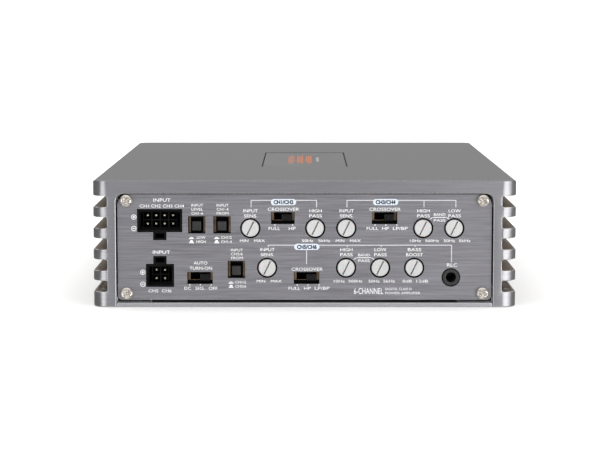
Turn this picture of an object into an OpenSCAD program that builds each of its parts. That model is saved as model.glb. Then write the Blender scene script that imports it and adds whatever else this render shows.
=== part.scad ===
// Six-channel class-D car amplifier: an extruded, finned aluminium body with
// a control panel at the front (-Y) and the power and speaker panel at the back (+Y).
// Millimetres. +Z is up. The origin is the middle of the mounting hole pattern, on the base.

/* [Body] */
// Width of the body across its fins
body_w = 149.4; // [149.4:0.2:156]
// Depth of the extruded body, front to back
body_d = 206; // [206:1:230]
// Height of the body
body_h = 44.6; // [44.6:0.2:48]
// Radius of the four upright corners
corner_r = 5; // [2:0.5:5]

/* [Cooling slots] */
// Number of slots in each side
slot_count = 5; // [2:1:5]
// Height of a slot
slot_h = 3.95; // [3:0.05:4.4]
// Depth of a slot into the side
slot_depth = 5.2; // [3:0.1:5.2]
// Distance from one slot to the next
slot_pitch = 7.5; // [7:0.1:7.5]

/* [Panels] */
// How far the end panels sit back from the ends of the body
panel_recess = 1.2; // [0.8:0.1:1.4]
// Thickness of the end panels
panel_t = 1.5; // [1:0.1:1.6]
// Thickness of the bottom plate
bottom_t = 1.4; // [1:0.1:1.6]

/* [Controls] */
// Diameter of a trimmer shaft
shaft_d = 6; // [5:0.1:6.2]
// Tilt of the screwdriver slots at their minimum setting, in degrees from upright
slot_tilt = 26; // [0:1:60]
// Width of a push button cap
cap_w = 3.1; // [2.8:0.1:3.4]
// Travel of a push button
push_travel = 2.8; // [2:0.1:3]
// Width of a slide switch knob
knob_w = 3.4; // [2.8:0.1:3.6]

/* [Hidden] */
$fn = 48;

// Body section
half_w = body_w / 2;
front_y = -body_d / 2;
back_y = body_d / 2;
wall_t = 3.1;
top_t = 4.5;
root_x = half_w - slot_depth;
inner_x = root_x - wall_t;
ceiling_z = body_h - top_t;
slot_first_z = 5.25;
tip_r = 0.5;
root_r = 0.6;
edge_r = 1;
opening_r = 2.8;

// Ledges and screw channels that run along the inside of the extrusion
ledge_z0 = bottom_t;
ledge_x = inner_x - 12.25;
board_z = 5.4;
step_x = inner_x - 6.15;
step_z = 7.4;
channel_z = ceiling_z - 5;

// End panels
panel_gap = 0.5;
panel_corner_r = 4.2;
panel_foot_r = 1.5;
panel_z0 = bottom_t + 0.9;
panel_z1 = ceiling_z - 0.2;
panel_front = front_y + panel_recess;
panel_back = panel_front + panel_t;
panel_screw_x = inner_x - 3.6;
panel_screw_z = [4.65, ceiling_z - 2.6];
panel_screw_r = 1.2;
rear_panel_out = back_y - panel_recess;
rear_panel_in = rear_panel_out - panel_t;

// Circuit boards: the main board lies on the ledges, and the control board hangs from the ceiling
board_t = 1.6;
main_top = board_z + board_t;
control_bottom = ceiling_z - 5.65;
control_top = control_bottom + board_t;
board_half_x = step_x - 0.4;
board_inset = 3.5;
control_depth = 52;

// Height of each control above the board that carries it
pot_axis = 6.7;
push_axis = 5.8;
slide_axis = 3.1;

// Mounting holes in the bottom flanges
mount_x = half_w - 2.5;
mount_y = body_d / 2 - 8;
mount_r = 1.1;

// Badge in the roof
badge = [32, 76, 0.8];
badge_gap = 0.25;

// Bottom plate screws
bottom_screw_x = inner_x - 4.45;
bottom_screw_y = [front_y + 18, 0, back_y - 18];
bottom_screw_r = 1.5;
bottom_screw_len = 5.8;
csk_r = 2.8;
csk_h = 1.1;

// Board screws
board_screw_r = 1.25;
main_screw_x = ledge_x + 2.9;
main_screw_y = [front_y + 28, -16.75, 29.75, back_y - 26];
control_screw_x = 50;
control_screw_y = [front_y + 22, front_y + 47];

// Trimmer potentiometers: node of the shaft, place across the panel, and 0 for the main
// board or 1 for the control board
pots = [
    ["shaft_sens_a", -19.1, 1],
    ["shaft_highpass_a", 3.75, 1],
    ["shaft_sens_b", 14.7, 1],
    ["shaft_highpass_b", 41.75, 1],
    ["shaft_lowpass_b", 52.7, 1],
    ["shaft_sens_c", -13.2, 0],
    ["shaft_highpass_c", 14.65, 0],
    ["shaft_lowpass_c", 26.65, 0],
    ["shaft_bass_c", 38.65, 0],
];
shaft_r = shaft_d / 2;
shaft_hole_r = shaft_r + 0.5;
shaft_proud = 0.3;
shaft_end = 7;
driver_slot = [0.5, 1.2, 5.2];
pot_size = [9.8, 6.8, 11];
pot_gap = 0.5;

// Latching push buttons: node of the cap, place across the panel, board
pushes = [
    ["cap_level", -37.95, 1],
    ["cap_source_a", -29.05, 1],
    ["cap_source_c", -24.05, 0],
];
push_window = 6.1;
push_window_rise = 0.3;
push_body = [7.6, 13.5, 9];
push_face = 3.2;
cap_shoulder = 4.2;

// Slide switches: node of the knob, place across the panel, board, window width, knob travel
slides = [
    ["knob_turn_on", -36.9, 0, 9, 3.4],
    ["knob_crossover_a", -7.65, 1, 8.3, 2.6],
    ["knob_crossover_b", 28.15, 1, 9, 3.4],
    ["knob_crossover_c", 0.7, 0, 9, 3.4],
];
slide_window_h = 4.3;
slide_face = 3.9;
slide_depth = 6.5;
slide_h = 5.6;
knob_h = 2.4;
knob_proud = 2.2;

// Remote level jack
jack_x = 51.65;
jack_z = 10.3;
jack_bore_r = 1.8;
jack_collar_r = 2.9;
jack_gap = 0.4;
jack_depth = 14;

// Plug headers: x, edge of the board it stands on, columns, pitch, size, latch width
input8 = [-51, 1, 4, 3.0, [15.7, 8], 4.5];
input4 = [-51, 0, 2, 3.0, [9.7, 8], 4.5];
speaker12 = [34, 0, 6, 4.2, [27.6, 9.8], 7];
header_depth = 12.5;
header_rim = 0.2;
header_mouth = 2.7;
header_wall = 0.7;
latch_h = 2.8;
pin_w = 0.64;

// Power terminals: x, wire radius, screw radius, head radius, node suffix
terminals = [
    [-49, 2.9, 2.5, 3.4, "battery"],
    [-34.5, 2.9, 2.5, 3.4, "ground"],
    [-22.5, 1.4, 1.25, 2.3, "remote"],
];
terminal_x = [-57, -17.5];
terminal_z = [4.5, 27];
terminal_out = 13;
cage_y = back_y + 4;
cage_len = 7.6;
bar_z = 13.5;
bar_t = 1.4;
cage_plate = 2.2;
cage_wall = 1.4;
head_z = 22.4;
head_h = 2.6;

// Blade fuses: node and height of the middle of each
fuses = [["fuse_upper", 25.5], ["fuse_lower", 17.5]];
fuse_x = -0.5;
fuse_size = [19.1, 12.4, 5.1];
fuse_blade = [5.2, 7, 0.65];
fuse_in = 7;
fuse_holder = [23.5, 19, 16];

// Status light
led_x = 55;
led_z = 12;

// Parts on the main board
toroid = [-24, 30, 19, 8.5, 17];
can_r = 8;
can_h = 25;
cans = [[-20, 70], [-2, 70], [16, 70], [8, 40], [8, 22], [8, 4]];
coil_size = [15, 15, 13];
coils = [for (x = [28, 45]) for (y = [-28, -4, 20]) [x, y]];
transistor = [10.2, 4.5, 15.4];
transistor_y = [for (i = [0:5]) -40 + i * 15.5];
transistor_z = 17;
pad_t = 0.4;
clamp_z = transistor_z + 8.7;
clamp_t = 1.5;
clamp_screw_r = 1.25;
riser_y = front_y + 50.5;
riser_foot = 6;

function shaft_nodes() = [for (p = pots) p[0]];
function cap_nodes() = [for (p = pushes) p[0]];
function knob_nodes() = [for (s = slides) s[0]];
function screw_node(t) = str("screw_", t[4]);
function cage_node(t) = str("cage_", t[4]);
function fuse_nodes() = [for (f = fuses) f[0]];
function fuse_mid_z() = (fuses[0][1] + fuses[1][1]) / 2;

// ---------- helpers ----------

function arc(cx, cy, r, a0, a1, n = 6) =
    [for (i = [0:n]) let (a = a0 + (a1 - a0) * i / n) [cx + r * cos(a), cy + r * sin(a)]];

// A rectangle whose top corners are rounded
function rounded_top(x, z0, z1, r) = concat(
    [[-x, z0], [x, z0]],
    arc(x - r, z1 - r, r, 0, 90),
    arc(-x + r, z1 - r, r, 90, 180));

// Extrudes a shape drawn in x and z, from y0 for a length t
module along_y(y0, t) {
    translate([0, y0 + t, 0])
        rotate([90, 0, 0])
            linear_extrude(t)
                children();
}

module y_cylinder(r, y0, y1) {
    translate([0, y0, 0])
        rotate([-90, 0, 0])
            cylinder(r = r, h = y1 - y0);
}

module box(x, y, z) {
    translate([x[0], y[0], z[0]])
        cube([x[1] - x[0], y[1] - y[0], z[1] - z[0]]);
}

// A box of a given size, centred in x and y, standing on z
module stand(x, y, z, size) {
    translate([x - size[0] / 2, y - size[1] / 2, z])
        cube(size);
}

// Places a control drawn with its board at z = 0: the control board holds it upside down
module on_board(x, board) {
    if (board == 0)
        translate([x, 0, main_top])
            children();
    else
        translate([x, 0, control_bottom])
            mirror([0, 0, 1])
                children();
}

function control_z(board, height) = board == 0 ? main_top + height : control_bottom - height;

module both_sides() {
    children();
    mirror([1, 0, 0])
        children();
}

// A pan head on a shank that points down, its underside at z = 0
module pan_screw(head_r, head_h, shank_r, length, cross) {
    difference() {
        union() {
            rotate_extrude()
                polygon(concat([[0, 0], [head_r, 0]],
                    [for (i = [0:6]) [head_r * cos(i * 13), head_h * (0.45 + 0.55 * sin(i * 13) / sin(78))]],
                    [[0, head_h]]));
            translate([0, 0, -length])
                cylinder(r = shank_r, h = length + 0.01);
        }
        for (a = [0, 90])
            rotate([0, 0, a])
                translate([-cross / 2, -cross * 0.11, head_h * 0.35])
                    cube([cross, cross * 0.22, head_h]);
    }
}

// ---------- body ----------

// One slot of the right side, from its upper edge to its lower edge
function slot_outline(i) =
    let (z0 = slot_first_z + i * slot_pitch, z1 = z0 + slot_h)
    concat(
        arc(half_w - tip_r, z1 + tip_r, tip_r, 0, -90, 3),
        arc(root_x + root_r, z1 - root_r, root_r, 90, 180, 3),
        arc(root_x + root_r, z0 + root_r, root_r, 180, 270, 3),
        arc(half_w - tip_r, z0 - tip_r, tip_r, 90, 0, 3));

right_outline = concat(
    arc(half_w - edge_r, body_h - edge_r, edge_r, 90, 0),
    [for (i = [slot_count - 1:-1:0]) each slot_outline(i)],
    arc(half_w - tip_r, tip_r, tip_r, 0, -90, 3),
    [[inner_x, 0], [inner_x, ledge_z0], [ledge_x, ledge_z0], [ledge_x, board_z],
     [step_x, board_z], [step_x, step_z], [inner_x, step_z], [inner_x, channel_z],
     [step_x, channel_z], [step_x, ceiling_z]]);

module body_section() {
    left_outline = [for (i = [len(right_outline) - 1:-1:0]) [-right_outline[i][0], right_outline[i][1]]];
    polygon(concat(right_outline, left_outline));
}

module body_plan() {
    square([body_w, body_d - 2 * corner_r], center = true);
    square([body_w - 2 * corner_r, body_d], center = true);
    for (x = [-1, 1])
        for (y = [-1, 1])
            translate([x * (half_w - corner_r), y * (body_d / 2 - corner_r)])
                circle(r = corner_r);
}

module panel_seats() {
    for (y = [front_y - 1, rear_panel_in])
        along_y(y, panel_recess + panel_t + 1)
            polygon(rounded_top(inner_x, -1, ceiling_z, opening_r));
}

module body_holes() {
    for (x = [-mount_x, mount_x])
        for (y = [-mount_y, mount_y])
            translate([x, y, -1])
                cylinder(r = mount_r, h = slot_first_z + 2);
    for (x = [-panel_screw_x, panel_screw_x])
        for (z = panel_screw_z)
            for (y = [panel_back - 1, rear_panel_in - 8])
                translate([x, 0, z])
                    y_cylinder(panel_screw_r + 0.05, y, y + 9);
    for (x = [-bottom_screw_x, bottom_screw_x])
        for (y = bottom_screw_y)
            translate([x, y, ledge_z0 - 1])
                cylinder(r = bottom_screw_r + 0.05, h = bottom_screw_len);
    for (x = [-main_screw_x, main_screw_x])
        for (y = main_screw_y)
            translate([x, y, board_z - 3])
                cylinder(r = board_screw_r + 0.05, h = 4);
    for (x = [-control_screw_x, control_screw_x])
        for (y = control_screw_y)
            translate([x, y, ceiling_z - 1])
                cylinder(r = board_screw_r + 0.05, h = 3.5);
    for (y = clamp_screw_y())
        both_sides()
            translate([inner_x - 1, y, clamp_z])
                rotate([0, 90, 0])
                    cylinder(r = clamp_screw_r + 0.05, h = 6.5);
}

module heatsink_body() {
    color([0.52, 0.52, 0.54])
        difference() {
            intersection() {
                along_y(front_y, body_d)
                    body_section();
                translate([0, 0, -1])
                    linear_extrude(body_h + 2)
                        body_plan();
            }
            panel_seats();
            body_holes();
            stand(0, 0, body_h - badge[2],
                [badge[0] + 2 * badge_gap, badge[1] + 2 * badge_gap, badge[2] + 1]);
        }
}

module badge_plate() {
    color([0.52, 0.52, 0.52])
        stand(0, 0, body_h - badge[2], [badge[0], badge[1], badge[2] - 0.1]);
}

module bottom_plate() {
    half_x = inner_x - 0.25;
    color([0.63, 0.63, 0.66])
        difference() {
            box([-half_x, half_x], [front_y + 0.1, back_y - 0.1], [0, bottom_t]);
            for (x = [-bottom_screw_x, bottom_screw_x])
                for (y = bottom_screw_y)
                    translate([x, y, 0]) {
                        translate([0, 0, -1])
                            cylinder(r = 1.7, h = bottom_t + 2);
                        translate([0, 0, -0.001])
                            cylinder(r1 = csk_r + 0.15, r2 = 1.7, h = csk_h + 0.1);
                    }
        }
}

module bottom_screws() {
    color([0.75, 0.73, 0.7])
        for (x = [-bottom_screw_x, bottom_screw_x])
            for (y = bottom_screw_y)
                translate([x, y, 0.1])
                    difference() {
                        union() {
                            cylinder(r1 = csk_r, r2 = bottom_screw_r, h = csk_h);
                            cylinder(r = bottom_screw_r, h = bottom_screw_len);
                        }
                        for (a = [0, 90])
                            rotate([0, 0, a])
                                translate([-1.4, -0.3, -1])
                                    cube([2.8, 0.6, 1.7]);
                    }
}

// ---------- end panels ----------

module panel_outline() {
    x = inner_x - panel_gap;
    polygon(concat(
        arc(-x + panel_foot_r, panel_z0 + panel_foot_r, panel_foot_r, 180, 270),
        arc(x - panel_foot_r, panel_z0 + panel_foot_r, panel_foot_r, 270, 360),
        arc(x - panel_corner_r, panel_z1 - panel_corner_r, panel_corner_r, 0, 90),
        arc(-x + panel_corner_r, panel_z1 - panel_corner_r, panel_corner_r, 90, 180)));
}

module panel_screw_holes() {
    for (x = [-panel_screw_x, panel_screw_x])
        for (z = panel_screw_z)
            translate([x, z])
                circle(r = 1.4);
}

module window(x, z, w, h) {
    translate([x - w / 2, z - h / 2])
        square([w, h]);
}

// The cutout for a header and its latch
module header_window(header) {
    size = header[4];
    side = header[1] == 0 ? 1 : -1;
    z = control_z(header[1], size[1] / 2);
    window(header[0], z, size[0] + 0.2, size[1] + 0.2);
    window(header[0], z + side * (size[1] + latch_h) / 2, header[5] + 0.2, latch_h + 0.2);
}

module front_panel() {
    color([0.5, 0.5, 0.52])
        along_y(panel_front, panel_t)
            difference() {
                panel_outline();
                panel_screw_holes();
                for (p = pots)
                    translate([p[1], control_z(p[2], pot_axis)])
                        circle(r = shaft_hole_r);
                for (p = pushes)
                    window(p[1], control_z(p[2], push_axis) + push_window_rise, push_window, push_window);
                for (s = slides)
                    window(s[1], control_z(s[2], slide_axis), s[3], slide_window_h);
                translate([jack_x, jack_z])
                    circle(r = jack_collar_r + jack_gap);
                header_window(input8);
                header_window(input4);
            }
}

module rear_panel() {
    color([0.5, 0.5, 0.52])
        along_y(rear_panel_in, panel_t)
            difference() {
                panel_outline();
                panel_screw_holes();
                window((terminal_x[0] + terminal_x[1]) / 2, (terminal_z[0] + terminal_z[1]) / 2,
                    terminal_x[1] - terminal_x[0] + 0.5, terminal_z[1] - terminal_z[0] + 0.5);
                window(fuse_x, fuse_mid_z(), fuse_holder[0] + 0.3, fuse_holder[2] + 0.3);
                header_window(speaker12);
                translate([led_x, led_z])
                    circle(r = 1.65);
            }
}

module panel_screw() {
    pan_screw(2.35, 1.5, panel_screw_r, 8.5, 2.6);
}

module panel_screws() {
    color([0.8, 0.78, 0.74])
        for (x = [-panel_screw_x, panel_screw_x])
            for (z = panel_screw_z) {
                translate([x, panel_front, z])
                    rotate([90, 0, 0])
                        panel_screw();
                translate([x, rear_panel_out, z])
                    rotate([-90, 0, 0])
                        panel_screw();
            }
}

// ---------- boards ----------

module main_board() {
    color([0.1, 0.3, 0.16])
        difference() {
            box([-board_half_x, board_half_x],
                [front_y + board_inset, back_y - board_inset], [board_z, main_top]);
            for (x = [-main_screw_x, main_screw_x])
                for (y = main_screw_y)
                    translate([x, y, board_z - 1])
                        cylinder(r = 1.45, h = board_t + 2);
        }
}

module main_board_screws() {
    color([0.8, 0.78, 0.74])
        for (x = [-main_screw_x, main_screw_x])
            for (y = main_screw_y)
                translate([x, y, main_top])
                    pan_screw(2.4, 1.6, board_screw_r, 4, 2.4);
}

module control_board() {
    color([0.1, 0.3, 0.16])
        difference() {
            box([-board_half_x, board_half_x],
                [front_y + board_inset, front_y + board_inset + control_depth],
                [control_bottom, control_top]);
            for (x = [-control_screw_x, control_screw_x])
                for (y = control_screw_y)
                    translate([x, y, control_bottom - 1])
                        cylinder(r = 1.45, h = board_t + 2);
        }
}

module control_board_spacers() {
    color([0.75, 0.7, 0.5])
        for (x = [-control_screw_x, control_screw_x])
            for (y = control_screw_y)
                translate([x, y, control_top])
                    difference() {
                        cylinder(r = 2.9, h = ceiling_z - control_top, $fn = 6);
                        translate([0, 0, -1])
                            cylinder(r = 1.45, h = ceiling_z - control_top + 2);
                    }
}

module control_board_screws() {
    color([0.8, 0.78, 0.74])
        for (x = [-control_screw_x, control_screw_x])
            for (y = control_screw_y)
                translate([x, y, control_bottom])
                    mirror([0, 0, 1])
                        pan_screw(2.4, 1.6, board_screw_r, 7.8, 2.4);
}

module riser_board() {
    color([0.1, 0.3, 0.16])
        box([-22, 22], [riser_y - 0.8, riser_y + 0.8],
            [main_top + riser_foot - 3, control_bottom - riser_foot + 3]);
}

module riser_connectors() {
    color([0.08, 0.08, 0.09])
        for (z = [main_top, control_bottom - riser_foot])
            difference() {
                box([-24, 24], [riser_y - 3, riser_y + 3], [z, z + riser_foot]);
                box([-22.2, 22.2], [riser_y - 0.9, riser_y + 0.9],
                    [main_top + riser_foot - 3.1, control_bottom - riser_foot + 3.1]);
            }
}

// ---------- plug headers ----------

function pin_x(header, i) = (i - (header[2] - 1) / 2) * header[3];

// A header with its mouth at y = 0 and its board at z = 0; each pin stands in its own cell
module header_housing(header) {
    size = header[4];
    pitch = header[3];
    cell = pitch - 0.5;
    inner = [size[0] / 2 - header_wall, size[1] / 2 - header_wall];
    difference() {
        union() {
            box([-size[0] / 2, size[0] / 2], [0, header_depth], [0, size[1]]);
            box([-header[5] / 2, header[5] / 2], [0, header_depth - 2], [size[1], size[1] + latch_h]);
        }
        box([-inner[0], inner[0]], [-1, header_mouth], [header_wall, size[1] - header_wall]);
        box([-header[5] / 2 + 0.7, header[5] / 2 - 0.7], [-1, header_depth - 3.5],
            [size[1] + 0.6, size[1] + latch_h - 0.6]);
        for (i = [0:header[2] - 1])
            for (row = [-1, 1])
                translate([pin_x(header, i), 0, size[1] / 2 + row * pitch / 2]) {
                    box([-cell / 2, cell / 2], [-1, header_depth - 2.5], [-cell / 2, cell / 2]);
                    box([-0.4, 0.4], [0, header_depth + 1], [-0.4, 0.4]);
                }
        for (side = [-1, 1])
            box([side * (pin_x(header, header[2] - 1) + pitch / 2 + 0.5) - 0.45,
                 side * (pin_x(header, header[2] - 1) + pitch / 2 + 0.5) + 0.45],
                [-1, header_depth - 4], [header_wall + 0.8, size[1] - header_wall - 0.8]);
    }
}

// The pins run back out of the housing and turn down to the board
module header_pins(header) {
    size = header[4];
    for (i = [0:header[2] - 1])
        for (row = [0, 1])
            let (z = size[1] / 2 + (row - 0.5) * header[3], back = header_depth + 1 + row * 2) {
                box([pin_x(header, i) - pin_w / 2, pin_x(header, i) + pin_w / 2],
                    [header_mouth + 1, back + pin_w], [z - pin_w / 2, z + pin_w / 2]);
                box([pin_x(header, i) - pin_w / 2, pin_x(header, i) + pin_w / 2],
                    [back, back + pin_w], [0, z - pin_w / 2 + 0.01]);
            }
}

module at_front(header) {
    translate([0, panel_front + header_rim, 0])
        on_board(header[0], header[1])
            children();
}

module at_back(header) {
    translate([0, rear_panel_out - header_rim, 0])
        on_board(header[0], header[1])
            mirror([0, 1, 0])
                children();
}

module input_header_8way() {
    color([0.05, 0.05, 0.05])
        at_front(input8)
            header_housing(input8);
}

module input_header_4way() {
    color([0.05, 0.05, 0.05])
        at_front(input4)
            header_housing(input4);
}

module input_header_pins() {
    color([0.85, 0.8, 0.6]) {
        at_front(input8)
            header_pins(input8);
        at_front(input4)
            header_pins(input4);
    }
}

module speaker_header() {
    color([0.05, 0.05, 0.05])
        at_back(speaker12)
            header_housing(speaker12);
}

module speaker_header_pins() {
    color([0.85, 0.8, 0.6])
        at_back(speaker12)
            header_pins(speaker12);
}

// ---------- controls ----------

module trimmer_bodies() {
    color([0.6, 0.58, 0.54])
        for (p = pots)
            on_board(p[1], p[2])
                difference() {
                    box([-pot_size[0] / 2, pot_size[0] / 2],
                        [panel_back + pot_gap, panel_back + pot_gap + pot_size[1]],
                        [0, pot_size[2]]);
                    translate([0, 0, pot_axis])
                        y_cylinder(shaft_r + 0.05, panel_back, panel_back + shaft_end - 1);
                }
}

// A slotted shaft with a bevelled end
module trimmer_shaft(p) {
    tip = panel_front - shaft_proud;
    bevel = 0.25;
    color([0.92, 0.92, 0.9])
        translate([p[1], 0, control_z(p[2], pot_axis)])
            difference() {
                union() {
                    y_cylinder(shaft_r, tip + bevel, panel_back + shaft_end - 1.5);
                    translate([0, tip, 0])
                        rotate([-90, 0, 0])
                            cylinder(r1 = shaft_r - bevel, r2 = shaft_r, h = bevel);
                }
                rotate([0, slot_tilt, 0])
                    translate([-driver_slot[0] / 2, tip - 1, -driver_slot[2] / 2])
                        cube([driver_slot[0], driver_slot[1] + 1, driver_slot[2]]);
            }
}

module push_switch_bodies() {
    y0 = panel_front + push_face;
    mouth = cap_w + 1;
    color([0.06, 0.06, 0.06])
        for (p = pushes)
            on_board(p[1], p[2])
                difference() {
                    box([-push_body[0] / 2, push_body[0] / 2], [y0, y0 + push_body[1]], [0, push_body[2]]);
                    translate([0, 0, push_axis]) {
                        box([-mouth / 2, mouth / 2], [y0 - 1, y0 + 2], [-mouth / 2, mouth / 2]);
                        box([-cap_w / 2 - 0.1, cap_w / 2 + 0.1], [y0, y0 + 4],
                            [-cap_w / 2 - 0.1, cap_w / 2 + 0.1]);
                        box([-cap_shoulder / 2 - 0.1, cap_shoulder / 2 + 0.1], [y0 + 3, y0 + push_body[1] - 1],
                            [-cap_shoulder / 2 - 0.1, cap_shoulder / 2 + 0.1]);
                    }
                }
}

// The cap's shoulder rests against the inside of the switch and stops it falling out
module push_cap(p) {
    shoulder_y = panel_front + push_face + 3.05;
    color([0.3, 0.3, 0.32])
        translate([p[1], 0, control_z(p[2], push_axis)]) {
            box([-cap_w / 2, cap_w / 2], [front_y, shoulder_y + 3], [-cap_w / 2, cap_w / 2]);
            box([-cap_shoulder / 2, cap_shoulder / 2], [shoulder_y, shoulder_y + 1.5],
                [-cap_shoulder / 2, cap_shoulder / 2]);
        }
}

// The knob rests at the right-hand end of its slot
function knob_rest(s) = s[1] + s[4] / 2;

module slide_switch_bodies() {
    y0 = panel_front + slide_face;
    color([0.06, 0.06, 0.06])
        for (s = slides)
            let (slot_w = s[4] + knob_w + 0.2)
                on_board(s[1], s[2])
                    difference() {
                        box([-slot_w / 2 - 3, slot_w / 2 + 3], [y0, y0 + slide_depth], [0, slide_h]);
                        translate([0, 0, slide_axis])
                            box([-slot_w / 2, slot_w / 2], [y0 - 1, y0 + slide_depth - 1],
                                [-knob_h / 2 - 0.1, knob_h / 2 + 0.1]);
                    }
}

module slide_knob(s) {
    y0 = panel_front + slide_face;
    x = knob_rest(s);
    z = control_z(s[2], slide_axis);
    color([0.1, 0.1, 0.11])
        difference() {
            box([x - knob_w / 2, x + knob_w / 2], [y0 - knob_proud, y0 + slide_depth - 1.1],
                [z - knob_h / 2, z + knob_h / 2]);
            for (i = [-1, 0, 1])
                box([x + i * 0.9 - 0.15, x + i * 0.9 + 0.15], [y0 - knob_proud - 1, y0 - knob_proud + 0.3],
                    [z - knob_h, z + knob_h]);
        }
}

module remote_jack() {
    color([0.12, 0.12, 0.13])
        difference() {
            translate([jack_x, 0, jack_z])
                union() {
                    y_cylinder(jack_collar_r, panel_front - 0.1, panel_back + 0.4);
                    box([-4, 4], [panel_back + 0.3, panel_front + jack_depth + 1.5],
                        [main_top - jack_z, 3.4]);
                }
            translate([jack_x, 0, jack_z]) {
                y_cylinder(jack_bore_r, panel_front - 1, panel_front + jack_depth);
                box([0.9, 2.7], [panel_front + 4, panel_front + jack_depth - 2], [0.7, 2.3]);
            }
        }
}

module jack_contact() {
    color([0.85, 0.83, 0.78])
        translate([jack_x, 0, jack_z])
            box([1.35, 2.6], [panel_front + 4.1, panel_front + jack_depth - 2.1], [1.35, 2.2]);
}

// ---------- back of the amplifier ----------

module terminal_block() {
    wall = 2.4;
    y_out = rear_panel_out + terminal_out;
    color([0.06, 0.06, 0.07])
        difference() {
            union() {
                box(terminal_x, [rear_panel_in + 0.5, y_out], terminal_z);
                box([terminal_x[0] + 2, terminal_x[1] - 2], [rear_panel_in - 14, rear_panel_in + 1],
                    [main_top, terminal_z[1] - 3]);
            }
            for (t = terminals)
                translate([t[0], 0, 0]) {
                    box([-t[1] - cage_wall - 0.4, t[1] + cage_wall + 0.4],
                        [cage_y - cage_len / 2 - 0.2, cage_y + cage_len / 2 + 0.2],
                        [bar_z - 2 * t[1] - 1.9, head_z + head_h + 0.1]);
                    translate([0, cage_y, head_z])
                        cylinder(r = t[3] - 0.5, h = 10);
                    translate([0, 0, bar_z - t[1]])
                        y_cylinder(t[1], cage_y, y_out + 1);
                    busbar(t, 0.05);
                }
        }
}

// The bar runs in from the clamp and turns down to the board
module busbar(t, grow) {
    half = t[1] - 0.2 + grow;
    y1 = cage_y + cage_len / 2 - 0.2;
    y0 = rear_panel_in - 16;
    box([-half, half], [y0 - grow, y1], [bar_z - grow, bar_z + bar_t + grow]);
    box([-half, half], [y0 - grow, y0 + bar_t + grow], [main_top, bar_z + bar_t]);
}

module terminal_busbars() {
    color([0.83, 0.7, 0.42])
        for (t = terminals)
            translate([t[0], 0, 0])
                busbar(t, 0);
}

// The tip of the screw bears on the busbar, so turning the screw lifts the cage
module terminal_screw(t) {
    color([0.8, 0.78, 0.74])
        translate([t[0], cage_y, 0])
            difference() {
                union() {
                    translate([0, 0, head_z])
                        cylinder(r = t[3], h = head_h);
                    translate([0, 0, bar_z + bar_t + 0.05])
                        cylinder(r = t[2], h = head_z - bar_z - bar_t);
                }
                translate([0, 0, head_z + head_h - 1.5])
                    linear_extrude(3)
                        circle(r = t[3] * 0.6, $fn = 6);
            }
}

module terminal_cage(t) {
    outer = t[1] + cage_wall;
    z0 = bar_z - 2 * t[1] - 1.5;
    z1 = bar_z + bar_t + 0.3 + cage_plate;
    color([0.83, 0.78, 0.62])
        translate([t[0], cage_y, 0])
            difference() {
                box([-outer, outer], [-cage_len / 2, cage_len / 2], [z0, z1]);
                box([-t[1], t[1]], [-cage_len, cage_len], [z0 + 1.5, z1 - cage_plate]);
                translate([0, 0, z1 - cage_plate - 1])
                    cylinder(r = t[2] + 0.05, h = cage_plate + 2);
            }
}

// The holder's face is level with the panel, and each fuse body stands out of its slot
module fuse_holder() {
    y1 = rear_panel_out;
    y0 = y1 - fuse_holder[1];
    z0 = fuse_mid_z() - fuse_holder[2] / 2;
    z1 = z0 + fuse_holder[2];
    slot = [fuse_size[0] / 2 + 0.3, fuse_size[2] / 2 + 0.3];
    color([0.06, 0.06, 0.07])
        difference() {
            union() {
                box([fuse_x - fuse_holder[0] / 2, fuse_x + fuse_holder[0] / 2], [y0, y1], [z0, z1]);
                box([fuse_x - 8, fuse_x + 8], [y0 + 2, y0 + 6], [main_top, z0 + 1]);
            }
            for (f = fuses)
                translate([fuse_x, 0, f[1]]) {
                    box([-slot[0], slot[0]], [y1 - fuse_in - 0.2, y1 + 1], [-slot[1], slot[1]]);
                    for (x = [-7.2, 7.2])
                        box([x - fuse_blade[0] / 2 - 0.3, x + fuse_blade[0] / 2 + 0.3],
                            [y1 - fuse_in - fuse_blade[1] - 1, y1], [-0.7, 0.7]);
                }
        }
}

module blade_fuse(f) {
    y0 = rear_panel_out - fuse_in;
    color([0.2, 0.6, 0.3])
        translate([fuse_x, 0, f[1]]) {
            difference() {
                box([-fuse_size[0] / 2, fuse_size[0] / 2], [y0, y0 + fuse_size[1]],
                    [-fuse_size[2] / 2, fuse_size[2] / 2]);
                for (z = [-1, 1])
                    box([-3.5, 3.5], [y0 + 1, y0 + fuse_size[1] - 2],
                        [z * fuse_size[2] / 2 - 0.8, z * fuse_size[2] / 2 + 0.8]);
            }
            for (x = [-7.2, 7.2])
                box([x - fuse_blade[0] / 2, x + fuse_blade[0] / 2], [y0 - fuse_blade[1], y0 + 0.5],
                    [-fuse_blade[2] / 2, fuse_blade[2] / 2]);
        }
}

module status_led() {
    color([0.2, 0.4, 0.9])
        translate([led_x, 0, led_z]) {
            y_cylinder(1.5, rear_panel_in - 4, rear_panel_out);
            translate([0, rear_panel_out, 0])
                rotate([-90, 0, 0])
                    rotate_extrude()
                        polygon(concat([[0, -0.01], [1.5, -0.01]], arc(0, 0, 1.5, 0, 90), [[0, 1.5]]));
            y_cylinder(1.9, rear_panel_in - 5, rear_panel_in - 4);
        }
    color([0.8, 0.8, 0.8])
        for (x = [-1.27, 1.27])
            box([led_x + x - 0.25, led_x + x + 0.25], [rear_panel_in - 5.01, rear_panel_in - 4.5],
                [main_top, led_z]);
}

// ---------- power stage ----------

module transformer_winding() {
    color([0.72, 0.4, 0.2])
        translate([toroid[0], toroid[1], main_top + 2])
            rotate_extrude()
                translate([(toroid[2] + toroid[3]) / 2, toroid[4] / 2])
                    polygon(ring_section((toroid[2] - toroid[3]) / 2, toroid[4] / 2, 3));
}

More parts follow.
